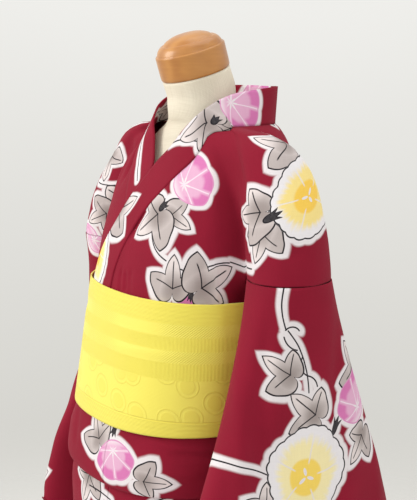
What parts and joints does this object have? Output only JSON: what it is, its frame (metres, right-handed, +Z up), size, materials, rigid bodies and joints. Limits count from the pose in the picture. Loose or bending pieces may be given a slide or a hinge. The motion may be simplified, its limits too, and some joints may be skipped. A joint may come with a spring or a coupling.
{
  "type": "yukata robe with belt on a limbless dress form",
  "caption": "Wrapped cotton robe with crossed collar, hanging sleeves, waist fold and wound belt, worn by a limbless dress form on a pole and round base.",
  "frame": {"origin": "on the floor, at the middle of the round base plate's underside", "axes": "+Z up; the wearer faces -Y; the wearer's left is +X"},
  "size_m": [0.5646, 0.3835, 1.463],
  "materials": {
    "printed_cotton": "matt plain weave, floral print",
    "belt_cloth": "ribbed weave, soft sheen",
    "linen": "matt linen cover",
    "turned_wood": "glossy varnish",
    "steel": "satin",
    "enamel": "satin"
  },
  "bodies": {
    "root": {"bodice_left": "printed_cotton", "bodice_right": "printed_cotton", "collar": "printed_cotton", "sleeve_left": "printed_cotton", "sleeve_right": "printed_cotton", "fold_front_left": "printed_cotton", "fold_okumi_left": "printed_cotton", "fold_front_right": "printed_cotton", "fold_back_left": "printed_cotton", "fold_back_right": "printed_cotton", "skirt_back_left": "printed_cotton", "skirt_back_right": "printed_cotton", "skirt_front_left": "printed_cotton", "skirt_front_right": "printed_cotton", "skirt_okumi_left": "printed_cotton", "skirt_okumi_right": "printed_cotton", "obi": "belt_cloth", "form_body": "linen", "form_cap": "turned_wood", "form_pole": "steel", "form_base": "enamel"}
  },
  "joints": []
}
